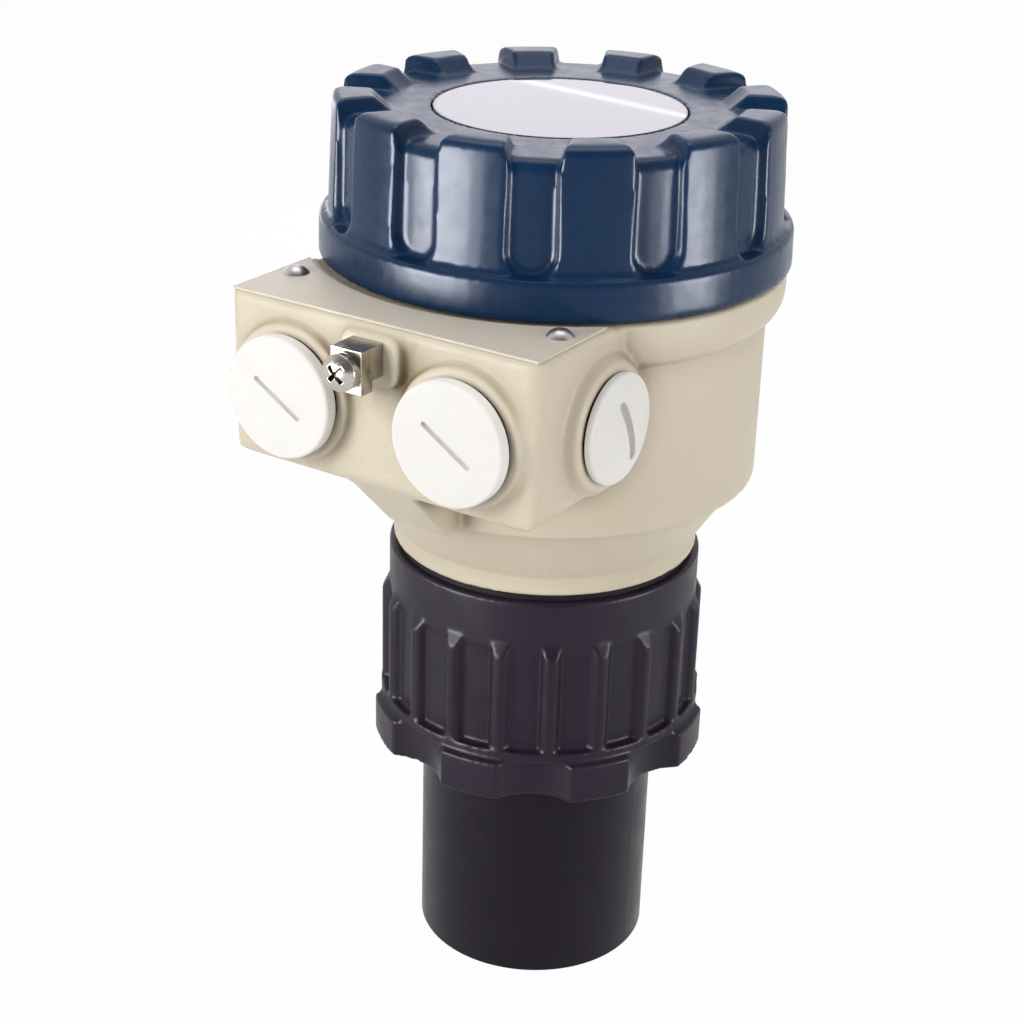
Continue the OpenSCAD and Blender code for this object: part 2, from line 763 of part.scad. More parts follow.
module housing() {
    bore_depth = box_wall * 2;
    color(cream_paint) difference() {
        union() {
            difference() {
                union() {
                    pot();
                    box_block();
                    wedge();
                    for (side = [-1, 1]) on_front(side * front_entry_x, front_entry_z)
                        boss(front_boss_r, front_boss_h, boss_draft);
                    on_right(side_entry_z) boss(side_boss_r, side_boss_h, side_boss_draft);
                    on_left(side_entry_z) boss(side_boss_r, side_boss_h, side_boss_draft);
                    on_front(0, earth_z) earth_pad();
                }
                ring(thread_r, rim_r + cover_gap, lip_z, box_top_z + cut);
                head_hollow();
            }
            board_posts();
        }
        for (side = [-1, 1]) on_front(side * front_entry_x, front_entry_z) entry_bore(bore_depth);
        on_right(side_entry_z) entry_bore(bore_depth);
        on_left(side_entry_z) entry_bore(bore_depth);
        on_front(0, earth_z) translate([0, 0, pad_out - earth_grip - seat_gap])
            cylinder(r = earth_hole_r, h = earth_grip + cut, $fn = 48);
        for (side = [-1, 1]) translate([side * rivet_x, -rivet_y, box_top_z - rivet_shank_len - seat_gap])
            cylinder(r = rivet_shank_r + seat_gap, h = rivet_shank_len + cut, $fn = 32);
        seal_groove(neck_oring_r, neck_oring_d, neck_oring_z, spigot_r);
        ring(spigot_r - circlip_groove, spigot_r + cut,
            circlip_z - seat_gap, circlip_z + circlip_t + seat_gap);
        seal_groove(cover_oring_r, cover_oring_d, cover_oring_z, thread_r);
        around(4, post_angle) translate([post_place, 0, board_z - board_screw_grip - seat_gap])
            cylinder(r = board_screw_r + seat_gap, h = board_screw_grip + cut, $fn = 32);
    }
}

module swivel_washer() {
    color(rubber_black) ring(collar_bore_r, neck_r - washer_inset, washer_z, neck_z);
}

module neck_oring() { color(rubber_black) round_ring(neck_oring_r, neck_oring_d, neck_oring_z); }

module neck_circlip() {
    reach = circlip_r * 2;
    half_gap = reach * tan(circlip_gap_angle / 2);
    color(nickel) difference() {
        ring(circlip_inner_r, circlip_r, circlip_z, circlip_z + circlip_t);
        translate([0, 0, circlip_z - cut]) linear_extrude(circlip_t + 2 * cut)
            polygon([[0, 0], [reach, -half_gap], [reach, half_gap]]);
    }
}

module cover_oring() { color(rubber_black) round_ring(cover_oring_r, cover_oring_d, cover_oring_z); }

module nameplate() {
    edge = box_half - plate_inset;
    front = box_front - plate_inset;
    color(plate_grey) translate([0, 0, box_top_z]) difference() {
        translate([-edge, -front, 0]) cube([2 * edge, front, plate_t]);
        translate([0, 0, -cut]) cylinder(r = rim_r + plate_gap, h = plate_t + 2 * cut);
        for (side = [-1, 1]) translate([side * rivet_x, -rivet_y, -cut])
            cylinder(r = rivet_shank_r + seat_gap, h = plate_t + 2 * cut, $fn = 32);
    }
}

// A rivet: a flat dome on a shank, on the height of the box's top
module rivet() {
    dome_r = (rivet_r * rivet_r + rivet_h * rivet_h) / (2 * rivet_h);
    rotate_extrude($fn = 48) polygon(concat(
        [[0, -rivet_shank_len], [rivet_shank_r, -rivet_shank_len], [rivet_shank_r, plate_t]],
        arc([0, plate_t + rivet_h - dome_r], dome_r, acos(rivet_r / dome_r), 90)));
}

module nameplate_rivets() {
    color(nickel) for (side = [-1, 1]) translate([side * rivet_x, -rivet_y, box_top_z]) rivet();
}

// Electronics

module main_board() {
    color(board_green) difference() {
        translate([0, 0, board_z]) cylinder(r = board_r, h = board_t);
        around(4, post_angle) translate([post_place, 0, board_z - cut])
            cylinder(r = board_screw_r + seat_gap, h = board_t + 2 * cut, $fn = 32);
    }
}

module board_screws() {
    slot = board_screw_r / 3;
    color(nickel) around(4, post_angle) translate([post_place, 0, board_top_z]) difference() {
        union() {
            cylinder(r = board_head_r, h = board_head_h, $fn = 48);
            translate([0, 0, -board_t - board_screw_grip])
                cylinder(r = board_screw_r, h = board_t + board_screw_grip + cut, $fn = 32);
        }
        for (turn = [0, 90]) rotate([0, 0, turn]) translate([-board_screw_r, -slot / 2, board_head_h / 2])
            cube([2 * board_screw_r, slot, board_head_h]);
    }
}

module shield_can() {
    color(nickel) translate([-can_w / 2, can_back, board_top_z]) cube([can_w, can_d, can_h]);
}

// Copies of the children over the terminals
module each_terminal() {
    pitch = terminal_w / terminal_count;
    for (i = [0:terminal_count - 1])
        translate([(i + 0.5) * pitch - terminal_w / 2, terminal_d / 2 - terminal_front, board_top_z])
            children();
}

module terminal_block() {
    well = terminal_screw_h * 2;
    sill = terminal_h - well - wire_h - terminal_screw_h;
    color(white_plastic) difference() {
        translate([-terminal_w / 2, -terminal_front, board_top_z])
            cube([terminal_w, terminal_d, terminal_h]);
        each_terminal() {
            translate([0, 0, terminal_h - well])
                cylinder(r = terminal_screw_r + seat_gap, h = well + cut, $fn = 48);
            translate([-wire_w / 2, -terminal_d / 2 - cut, sill])
                cube([wire_w, terminal_d / 2 + cut, wire_h]);
        }
    }
}

module terminal_screws() {
    slot = terminal_screw_r / 3;
    color(nickel) each_terminal() translate([0, 0, terminal_h - 2 * terminal_screw_h]) difference() {
        cylinder(r = terminal_screw_r, h = terminal_screw_h, $fn = 48);
        translate([-terminal_screw_r - cut, -slot / 2, terminal_screw_h / 2])
            cube([2 * terminal_screw_r + 2 * cut, slot, terminal_screw_h]);
    }
}

module display_posts() {
    color(nickel) for (side = [-1, 1]) translate([side * display_post_x, 0, board_top_z])
        cylinder(r = display_post_r, h = display_z - board_top_z, $fn = 48);
}

module display_case() {
    color(white_plastic) difference() {
        translate([0, 0, display_z]) cylinder(r = display_r, h = display_h);
        translate([-screen_w / 2 - seat_gap, -screen_d / 2 - seat_gap, display_top_z - screen_t])
            cube([screen_w + 2 * seat_gap, screen_d + 2 * seat_gap, screen_t + cut]);
    }
}

module display_screen() {
    color(plate_grey) translate([-screen_w / 2, -screen_d / 2, display_top_z - screen_t])
        cube([screen_w, screen_d, screen_t]);
}

// Cover

module window_glass() {
    edge = glass_sink + seal_gap;
    color(pale_glass) rotate_extrude() polygon([
        [0, glass_foot_z], [glass_flange_r, glass_foot_z], [glass_flange_r, glass_step_z],
        [glass_r, glass_step_z], [glass_r, glass_top_z - edge], [glass_r - edge, glass_top_z],
        [0, glass_top_z]
    ]);
}

module window_gasket() {
    color(rubber_black) ring(glass_r + seat_gap, glass_flange_r, glass_step_z, window_seat_z);
}

module window_ring() {
    color(rubber_black) ring(glass_flange_r - window_ring_w, glass_flange_r, window_ring_z, glass_foot_z);
}

// Outside of the cover without its lobes
module cover_core() {
    wall_top_r = scoop_r - scoop_draw;
    ledge_z = rim_z + rim_h;
    rotate_extrude() polygon(concat(
        [[0, rim_z], [rim_r - rim_chamfer, rim_z], [rim_r, rim_z + rim_chamfer]],
        arc([rim_r - rim_draw - rim_round, ledge_z - rim_round], rim_round, 0, 90),
        [[scoop_r, ledge_z]],
        arc([wall_top_r - top_round, top_z - top_round], top_round, 0, 90),
        [[0, top_z]]));
}

// Ring from which the lobes are cut
module lobe_ring() {
    foot_z = rim_z + rim_h - rim_round;
    crown_z = top_z + lobe_rise;
    inner = lobe_inner_r - ramp_len;
    sunk_r = hollow_r + sink;
    rotate_extrude() polygon(concat(
        [[sunk_r, foot_z], [lobe_foot_r, foot_z]],
        [for (i = [0:round_steps]) [
            lobe_top_r - shoulder_d * (1 - cos(90 * i / round_steps)),
            crown_z - shoulder_h * (1 - sin(90 * i / round_steps))
        ]],
        [[lobe_inner_r, crown_z], [inner, top_z], [inner, top_z - sink],
            [sunk_r, top_z - top_round - sink]]));
}

// Cutter for one scoop: a round lower end, an upright channel and a gap that widens over the flat top
module scoop() {
    mouth = lobe_foot_r + cut;
    mouth_w = scoop_half_w + scoop_flare * (mouth - scoop_r) / (lobe_foot_r - scoop_r);
    inner = lobe_inner_r - ramp_len - sink;
    centre_z = rim_z + rim_h + scoop_up + scoop_half_w;
    over_z = top_z + lobe_rise + cut;
    translate([0, 0, centre_z]) rotate([0, 90, 0]) rotate_extrude($fn = 64) polygon([
        [0, inner], [scoop_half_w, inner], [scoop_half_w, scoop_r], [mouth_w, mouth], [0, mouth]
    ]);
    translate([0, 0, centre_z]) linear_extrude(over_z - centre_z) polygon([
        [inner, -scoop_half_w], [scoop_r, -scoop_half_w], [mouth, -mouth_w],
        [mouth, mouth_w], [scoop_r, scoop_half_w], [inner, scoop_half_w]
    ]);
    translate([inner, 0, 0]) rotate([90, 0, 90]) linear_extrude(mouth - inner) polygon([
        [-scoop_half_w, top_z - top_round], [scoop_half_w, top_z - top_round],
        [mouth_w, over_z], [-mouth_w, over_z]
    ]);
}

// Inside of the cover, from the sealing bore up to the window's hole
module cover_hollow() {
    thread_top_z = rim_z + inner_thread_h;
    rotate_extrude() polygon([
        [0, rim_z - cut], [seal_bore_r, rim_z - cut], [seal_bore_r, rim_z + seal_bore_h],
        [inner_thread_r, rim_z + seal_bore_h], [inner_thread_r, thread_top_z], [hollow_r, thread_top_z],
        [hollow_r, hollow_top_z], [window_bore_r, hollow_top_z], [window_bore_r, window_seat_z],
        [glass_hole_r, window_seat_z], [glass_hole_r, top_z + cut], [0, top_z + cut]
    ]);
}

module cover() {
    color(navy_paint) difference() {
        union() {
            cover_core();
            difference() {
                lobe_ring();
                around(lobe_count, lobe_turn + 180 / lobe_count) scoop();
            }
        }
        cover_hollow();
    }
}

// Blanking plugs

module gasket(head_r, boss_h, gasket_t) {
    translate([0, 0, boss_h]) linear_extrude(gasket_t) difference() {
        circle(r = head_r - gasket_inset);
        circle(r = entry_bore_r);
    }
}

// Slot for a screwdriver, cut down from the height z
module slot(len, w, depth, z, tilt) {
    end = (len - w) / 2;
    rotate([0, 0, tilt]) translate([0, 0, z - depth]) linear_extrude(depth + cut)
        polygon(concat(arc([end, 0], w / 2, -90, 90), arc([-end, 0], w / 2, 90, 270)));
}

// Outline of a plug's top, from its edge to the axis: flat, or a dome of height h
function plug_top(r, z, h) =
    h == 0 ? [[0, z]]
    : let (ball = (r * r + h * h) / (2 * h)) arc([0, z + h - ball], ball, acos(r / ball), 90);

// A plug on +Z without its slot: shank, head with a rounded edge, and top
module plug_body(head_r, head_t, dome_h) {
    rotate_extrude() polygon(concat(
        [[0, -shank_len], [entry_r, -shank_len], [entry_r, 0], [head_r, 0]],
        arc([head_r - plug_edge, head_t - plug_edge], plug_edge, 0, 90),
        plug_top(head_r - plug_edge, head_t, dome_h)));
}

module front_gasket(x) {
    color(rubber_black) on_front(x, front_entry_z) gasket(front_head_r, front_boss_h, front_gasket_t);
}

module front_plug(x) {
    color(white_plastic) on_front(x, front_entry_z)
        translate([0, 0, front_boss_h + front_gasket_t]) difference() {
            plug_body(front_head_r, front_head_t, 0);
            slot(front_slot_len, front_slot_w, front_slot_depth, front_head_t, front_slot_tilt);
        }
}

module side_gasket() {
    color(rubber_black) on_right(side_entry_z) gasket(side_head_r, side_boss_h, side_gasket_t);
}

module side_plug() {
    color(white_plastic) on_right(side_entry_z)
        translate([0, 0, side_boss_h + side_gasket_t]) difference() {
            plug_body(side_head_r, side_head_t, side_dome_h);
            slot(side_slot_len, side_slot_w, side_slot_depth, side_head_t + side_dome_h, side_slot_tilt);
        }
}

// Earth terminal

module earth_saddle() {
    foot = saddle_up - saddle_h;
    half = saddle_w / 2;
    color(nickel) on_front(0, earth_z) translate([0, 0, pad_out]) difference() {
        translate([-half, foot, 0]) cube([saddle_w, saddle_h, saddle_d]);
        translate([saddle_t - half, foot - cut, -cut])
            cube([saddle_w - 2 * saddle_t, saddle_h - saddle_t + cut, saddle_d - saddle_t + cut]);
        translate([-half - cut, foot - cut, -cut])
            cube([saddle_w + 2 * cut, saddle_step + cut, saddle_d / 2 + cut]);
        cylinder(r = earth_hole_r, h = saddle_d + cut, $fn = 48);
    }
}

module earth_washer() {
    color(nickel) on_front(0, earth_z) translate([0, 0, pad_out + saddle_d])
        linear_extrude(earth_washer_t) difference() {
            circle(r = earth_head_r - earth_washer_inset);
            circle(r = earth_hole_r);
        }
}

module earth_screw() {
    reach = earth_grip + saddle_d + earth_washer_t;
    dome_h = earth_head_h / 2;
    dome_r = (earth_head_r * earth_head_r + dome_h * dome_h) / (2 * dome_h);
    seat = pad_out + saddle_d + earth_washer_t;
    color(nickel) on_front(0, earth_z) translate([0, 0, seat]) difference() {
        rotate_extrude() polygon(concat(
            [[0, -reach], [earth_screw_r, -reach], [earth_screw_r, 0], [earth_head_r, 0]],
            arc([0, earth_head_h - dome_r], dome_r, acos(earth_head_r / dome_r), 90)));
        for (turn = [45, 135]) rotate([0, 0, turn])
            translate([-cross_len / 2, -cross_w / 2, earth_head_h - cross_depth])
                cube([cross_len, cross_w, cross_depth + cut]);
    }
}

transducer_tube();
process_collar();
tube_clamp_ring();
matching_layer();
piezo_disc();
damping_sleeve();
backing_block();
temperature_sensor();
transducer_lead();
housing();
swivel_washer();
neck_oring();
neck_circlip();
cover_oring();
nameplate();
nameplate_rivets();
main_board();
board_screws();
shield_can();
terminal_block();
terminal_screws();
display_posts();
display_case();
display_screen();
window_gasket();
window_glass();
window_ring();
cover();
front_gasket(-front_entry_x);  // front_left_gasket
front_plug(-front_entry_x);  // front_left_plug
front_gasket(front_entry_x);  // front_right_gasket
front_plug(front_entry_x);  // front_right_plug
mirror([1, 0, 0]) side_gasket();  // left_side_gasket
mirror([1, 0, 0]) side_plug();  // left_side_plug
side_gasket();  // right_side_gasket
side_plug();  // right_side_plug
earth_saddle();
earth_washer();
earth_screw();
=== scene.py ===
import json
import math

import bpy
from mathutils import Matrix, Vector


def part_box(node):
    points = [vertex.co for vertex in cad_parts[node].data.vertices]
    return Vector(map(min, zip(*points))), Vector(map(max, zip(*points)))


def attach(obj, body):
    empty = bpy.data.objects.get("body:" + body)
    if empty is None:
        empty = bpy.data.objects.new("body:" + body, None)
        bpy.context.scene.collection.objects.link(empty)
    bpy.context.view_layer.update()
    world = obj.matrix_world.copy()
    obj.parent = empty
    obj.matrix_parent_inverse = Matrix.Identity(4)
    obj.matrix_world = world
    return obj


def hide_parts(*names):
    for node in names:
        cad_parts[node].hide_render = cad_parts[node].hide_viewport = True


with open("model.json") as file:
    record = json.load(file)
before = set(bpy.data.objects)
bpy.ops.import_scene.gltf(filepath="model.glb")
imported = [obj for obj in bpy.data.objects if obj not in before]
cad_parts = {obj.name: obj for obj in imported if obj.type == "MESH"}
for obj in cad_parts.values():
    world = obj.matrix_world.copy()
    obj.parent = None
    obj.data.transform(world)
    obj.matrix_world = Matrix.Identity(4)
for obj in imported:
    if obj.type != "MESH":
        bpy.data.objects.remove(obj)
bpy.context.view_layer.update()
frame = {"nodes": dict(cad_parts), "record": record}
nodes = frame["nodes"]
scene = bpy.context.scene

# Lengths are in metres. Corners nearer to each other than this are one.
MERGE_GAP = 2e-6
# The stretch of a noise texture's values that the finishes use
GRAIN_LOW = 0.3
GRAIN_HIGH = 0.7


# Camera

def place_camera():
    """The camera stands where the photograph's stood, a little above and to the right of the box."""
    turn, tilt, roll = math.radians(32.536), math.radians(24.428), math.radians(1.697)
    place = (0.237436, -0.387477, 0.322556)
    right = Vector((math.cos(turn), math.sin(turn), 0.0))
    back = Vector((math.sin(turn) * math.cos(tilt), -math.cos(turn) * math.cos(tilt), math.sin(tilt)))
    up = back.cross(right)
    side = right * math.cos(roll) + up * math.sin(roll)
    above = up * math.cos(roll) - right * math.sin(roll)
    data = bpy.data.cameras.new("camera")
    data.sensor_width = 36.0
    data.lens = 70.9
    data.clip_start = 0.01
    camera = bpy.data.objects.new("camera", data)
    camera.matrix_world = Matrix((
        (side.x, above.x, back.x, place[0]),
        (side.y, above.y, back.y, place[1]),
        (side.z, above.z, back.z, place[2]),
        (0.0, 0.0, 0.0, 1.0)))
    scene.collection.objects.link(camera)
    scene.camera = camera


# Node helpers

class Finish:
    """A material with a Principled shader and the few node chains that the finishes share."""

    def __init__(self, name, colour, roughness, metallic=0.0):
        self.material = bpy.data.materials.new(name)
        self.material.use_nodes = True
        self.tree = self.material.node_tree
        self.shader = self.tree.nodes["Principled BSDF"]
        self.shader.inputs["Base Color"].default_value = (*colour, 1.0)
        self.shader.inputs["Roughness"].default_value = roughness
        self.shader.inputs["Metallic"].default_value = metallic
        self.place = self.tree.nodes.new("ShaderNodeTexCoord").outputs["Object"]
        self.normal = None

    def link(self, source, target):
        """Joins one socket to another."""
        self.tree.links.new(source, target)

    def grain(self, scale, detail=2.0):
        """Noise of the given scale, per metre."""
        noise = self.tree.nodes.new("ShaderNodeTexNoise")
        noise.inputs["Scale"].default_value = scale
        noise.inputs["Detail"].default_value = detail
        self.link(self.place, noise.inputs["Vector"])
        return noise.outputs["Fac"]

    def tint(self, source, first, second):
        """Colour that drifts between two shades with the grain."""
        ramp = self.tree.nodes.new("ShaderNodeValToRGB")
        start, end = ramp.color_ramp.elements
        start.position = GRAIN_LOW
        start.color = (*first, 1.0)
        end.position = GRAIN_HIGH
        end.color = (*second, 1.0)
        self.link(source, ramp.inputs["Fac"])
        self.link(ramp.outputs["Color"], self.shader.inputs["Base Color"])

    def uneven_gloss(self, source, low, high):
        """Roughness that drifts between two values with the grain."""
        spread = self.tree.nodes.new("ShaderNodeMapRange")
        spread.inputs["From Min"].default_value = GRAIN_LOW
        spread.inputs["From Max"].default_value = GRAIN_HIGH
        spread.inputs["To Min"].default_value = low
        spread.inputs["To Max"].default_value = high
        self.link(source, spread.inputs["Value"])
        self.link(spread.outputs["Result"], self.shader.inputs["Roughness"])

    def blend_in(self, factor, colour):
        """Another colour laid over the present one by a factor."""
        mix = self.tree.nodes.new("ShaderNodeMix")
        mix.data_type = "RGBA"
        share, first, second, mixed = mix.inputs[0], mix.inputs[6], mix.inputs[7], mix.outputs[2]
        second.default_value = (*colour, 1.0)
        self.link(factor, share)
        self.link(self.shader.inputs["Base Color"].links[0].from_socket, first)
        self.link(mixed, self.shader.inputs["Base Color"])

    def dark_ring_and_gap_shade(self, inner, outer, colour):
        """The colour changes to another one between two distances from the part's axis, as a ring that is
        partly painted shade of a gap.
        """
        flat = self.tree.nodes.new("ShaderNodeVectorMath")
        flat.operation = "MULTIPLY"
        flat.inputs[1].default_value = (1.0, 1.0, 0.0)
        reach = self.tree.nodes.new("ShaderNodeVectorMath")
        reach.operation = "LENGTH"
        step = self.tree.nodes.new("ShaderNodeMapRange")
        step.inputs["From Min"].default_value = inner
        step.inputs["From Max"].default_value = outer
        self.link(self.place, flat.inputs[0])
        self.link(flat.outputs["Vector"], reach.inputs[0])
        self.link(reach.outputs["Value"], step.inputs["Value"])
        self.blend_in(step.outputs["Result"], colour)

    def paint_corner_shade(self, distance, open_share, deep_share, colour):
        """Painted shade: another, darker colour in the piece's own inner corners, full where they are as
        closed as deep_share.
        """
        gap = self.tree.nodes.new("ShaderNodeAmbientOcclusion")
        gap.only_local = True
        gap.samples = 8
        gap.inputs["Distance"].default_value = distance
        step = self.tree.nodes.new("ShaderNodeMapRange")
        step.inputs["From Min"].default_value = open_share
        step.inputs["From Max"].default_value = deep_share
        self.link(gap.outputs["AO"], step.inputs["Value"])
        self.blend_in(step.outputs["Result"], colour)

    def soft_edges(self, radius):
        """Edges that catch the light as rounded ones do."""
        bevel = self.tree.nodes.new("ShaderNodeBevel")
        bevel.samples = 6
        bevel.inputs["Radius"].default_value = radius
        self.normal = bevel.outputs["Normal"]
        self.link(self.normal, self.shader.inputs["Normal"])

    def relief(self, source, depth, strength):
        """Fine relief, on top of the soft edges where there are any."""
        bump = self.tree.nodes.new("ShaderNodeBump")
        bump.inputs["Distance"].default_value = depth
        bump.inputs["Strength"].default_value = strength
        self.link(source, bump.inputs["Height"])
        if self.normal:
            self.link(self.normal, bump.inputs["Normal"])
        self.normal = bump.outputs["Normal"]
        self.link(self.normal, self.shader.inputs["Normal"])

    def set(self, **sockets):
        """Sets other sockets of the shader, named with underscores for spaces."""
        for name, value in sockets.items():
            self.shader.inputs[name.replace("_", " ")].default_value = value


# Finishes

def cream_powder_coat():
    """Cream powder coat on the cast housing, with a fine orange peel and painted shade in the inner corners.
    """
    finish = Finish("cream_powder_coat", (0.71, 0.635, 0.5), 0.4)
    finish.tint(finish.grain(38.0), (0.695, 0.62, 0.486), (0.725, 0.65, 0.514))
    # Painted shade: the casting's inner corners turn a darker brown where shade falls.
    finish.paint_corner_shade(distance=0.008, open_share=0.95, deep_share=0.66, colour=(0.27, 0.215, 0.135))
    finish.uneven_gloss(finish.grain(220.0), 0.36, 0.46)
    finish.set(Specular_IOR_Level=0.1)
    finish.relief(finish.grain(850.0, 3.0), depth=0.00018, strength=0.65)
    return finish.material


def cream_plate_print():
    """Satin cream face of the nameplate."""
    finish = Finish("cream_plate_print", (0.7, 0.635, 0.54), 0.42)
    finish.tint(finish.grain(60.0), (0.685, 0.62, 0.525), (0.715, 0.65, 0.555))
    finish.uneven_gloss(finish.grain(300.0), 0.38, 0.48)
    finish.set(Specular_IOR_Level=0.14)
    finish.soft_edges(0.0002)
    finish.relief(finish.grain(1500.0), depth=0.00005, strength=0.2)
    return finish.material


def navy_gloss_coat():
    """Glossy navy coat on the cast cover."""
    finish = Finish("navy_gloss_coat", (0.005, 0.027, 0.078), 0.27)
    finish.tint(finish.grain(45.0), (0.0045, 0.0245, 0.072), (0.0055, 0.0295, 0.084))
    finish.uneven_gloss(finish.grain(260.0), 0.24, 0.31)
    finish.set(Specular_IOR_Level=0.2)
    finish.relief(finish.grain(1400.0, 1.0), depth=0.00003, strength=0.12)
    return finish.material


def purple_black_plastic():
    """Satin plastic of the collar, between black and purple."""
    finish = Finish("purple_black_plastic", (0.0185, 0.012, 0.025), 0.4)
    finish.tint(finish.grain(30.0), (0.017, 0.011, 0.0232), (0.02, 0.013, 0.0268))
    finish.uneven_gloss(finish.grain(140.0, 3.0), 0.35, 0.46)
    finish.set(Specular_IOR_Level=0.17)
    finish.relief(finish.grain(1300.0), depth=0.00005, strength=0.2)
    return finish.material


def black_moulded_plastic():
    """Satin black plastic of the tube and the inner rings, a little purple."""
    finish = Finish("black_moulded_plastic", (0.0085, 0.0042, 0.012), 0.34)
    finish.tint(finish.grain(30.0), (0.0075, 0.0037, 0.0107), (0.0095, 0.0047, 0.0133))
    finish.uneven_gloss(finish.grain(140.0, 3.0), 0.3, 0.4)
    finish.set(Specular_IOR_Level=0.155)
    finish.soft_edges(0.0007)
    finish.relief(finish.grain(1300.0), depth=0.00005, strength=0.2)
    return finish.material


def white_moulded_plastic():
    """White plastic of the blanking plugs."""
    finish = Finish("white_moulded_plastic", (0.9, 0.885, 0.86), 0.42)
    finish.tint(finish.grain(70.0), (0.888, 0.872, 0.846), (0.912, 0.898, 0.874))
    finish.uneven_gloss(finish.grain(200.0), 0.36, 0.48)
    finish.set(Subsurface_Weight=0.08, Subsurface_Scale=0.001, Specular_IOR_Level=0.02)
    finish.soft_edges(0.0006)
    finish.relief(finish.grain(1600.0), depth=0.00004, strength=0.2)
    return finish.material


def nickel_plate():
    """Bright nickel, with painted shade in the recesses, on the earth terminal and the small metal parts
    inside.
    """
    finish = Finish("nickel_plate", (0.5, 0.465, 0.42), 0.2, 1.0)
    finish.tint(finish.grain(160.0), (0.46, 0.43, 0.385), (0.54, 0.505, 0.46))
    # Painted shade: the recesses turn nearly black.
    finish.paint_corner_shade(distance=0.0015, open_share=0.85, deep_share=0.4, colour=(0.05, 0.04, 0.035))
    finish.uneven_gloss(finish.grain(700.0, 3.0), 0.14, 0.28)
    finish.soft_edges(0.00035)
    finish.relief(finish.grain(1800.0), depth=0.00003, strength=0.25)
    return finish.material


def rivet_steel():
    """Plain steel with faint forming marks."""
    finish = Finish("rivet_steel", (0.5, 0.47, 0.46), 0.36, 1.0)
    finish.tint(finish.grain(220.0), (0.46, 0.43, 0.42), (0.54, 0.51, 0.5))
    finish.uneven_gloss(finish.grain(900.0, 3.0), 0.31, 0.42)
    finish.relief(finish.grain(1500.0), depth=0.00004, strength=0.3)
    return finish.material


def seal_rubber():
    """Matt black rubber of the seals."""
    finish = Finish("seal_rubber", (0.012, 0.011, 0.013), 0.62)
    finish.tint(finish.grain(120.0), (0.010, 0.009, 0.011), (0.016, 0.015, 0.017))
    finish.uneven_gloss(finish.grain(500.0), 0.55, 0.7)
    finish.set(Specular_IOR_Level=0.12)
    finish.relief(finish.grain(2200.0), depth=0.00004, strength=0.3)
    return finish.material


def window_pane():
    """Pale, slightly milky window glass with a dark edge ring, partly painted shade of the gap around the
    glass and partly the dark gasket.
    """
    finish = Finish("window_pane", (0.46, 0.43, 0.485), 0.02)
    finish.tint(finish.grain(18.0), (0.445, 0.415, 0.475), (0.475, 0.445, 0.495))
    # Dark ring at the glass's edge: partly painted shade of the gap, partly the dark gasket.
    finish.dark_ring_and_gap_shade(inner=0.0282, outer=0.0287, colour=(0.03, 0.03, 0.05))
    finish.uneven_gloss(finish.grain(60.0), 0.015, 0.03)
    finish.set(Alpha=0.82)
    return finish.material


def pale_case_plastic():
    """Pale plastic of the display case and the terminal block."""
    finish = Finish("pale_case_plastic", (0.74, 0.72, 0.77), 0.5)
    finish.tint(finish.grain(80.0), (0.72, 0.7, 0.75), (0.76, 0.74, 0.79))
    finish.uneven_gloss(finish.grain(300.0), 0.45, 0.58)
    finish.relief(finish.grain(1800.0), depth=0.00004, strength=0.25)
    return finish.material


def screen_film():
    """Grey-lilac film of the idle screen."""
    finish = Finish("screen_film", (0.69, 0.68, 0.73), 0.3)
    finish.tint(finish.grain(120.0), (0.67, 0.66, 0.71), (0.71, 0.70, 0.75))
    finish.uneven_gloss(finish.grain(400.0), 0.25, 0.35)
    return finish.material


def board_lacquer():
    """Green lacquer of the main board."""
    finish = Finish("board_lacquer", (0.03, 0.19, 0.08), 0.35)
    finish.tint(finish.grain(250.0), (0.025, 0.17, 0.07), (0.035, 0.21, 0.095))
    finish.uneven_gloss(finish.grain(600.0), 0.28, 0.42)
    finish.relief(finish.grain(900.0), depth=0.00006, strength=0.3)
    return finish.material


def cast_filler():
    """Cast resin of the transducer's inner blocks."""
    finish = Finish("cast_filler", (0.55, 0.5, 0.42), 0.6)
    finish.tint(finish.grain(200.0, 4.0), (0.5, 0.455, 0.38), (0.6, 0.55, 0.465))
    finish.uneven_gloss(finish.grain(400.0), 0.52, 0.68)
    finish.relief(finish.grain(1000.0), depth=0.00008, strength=0.3)
    return finish.material


def dress_nodes():
    """Each node of the frame gets the finish of the real piece."""
    wardrobe = {
        cream_powder_coat: ["housing"],
        cream_plate_print: ["nameplate"],
        navy_gloss_coat: ["cover"],
        purple_black_plastic: ["process_collar"],
        black_moulded_plastic: ["transducer_tube", "tube_clamp_ring", "window_ring"],
        white_moulded_plastic: ["front_left_plug", "front_right_plug", "left_side_plug", "right_side_plug"],
        nickel_plate: ["earth_saddle", "earth_washer", "earth_screw", "shield_can", "terminal_screws",
                       "display_posts"],
        rivet_steel: ["nameplate_rivets", "neck_circlip", "board_screws"],
        seal_rubber: ["front_left_gasket", "front_right_gasket", "left_side_gasket", "right_side_gasket",
                      "swivel_washer", "neck_oring", "cover_oring", "window_gasket", "damping_sleeve",
                      "temperature_sensor", "transducer_lead"],
        window_pane: ["window_glass"],
        pale_case_plastic: ["display_case", "terminal_block"],
        screen_film: ["display_screen"],
        board_lacquer: ["main_board"],
        cast_filler: ["matching_layer", "backing_block", "piezo_disc"],
    }
    for make, names in wardrobe.items():
        material = make()
        for name in names:
            piece = nodes[name]
            piece.data.materials.clear()
            piece.data.materials.append(material)


# Castings and threads

def join_up(piece, node):
    """A new piece moves with the body that holds a node."""
    bodies = frame["record"]["behaviour"]["bodies"]
    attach(piece, next(name for name, held in bodies.items() if node in held))


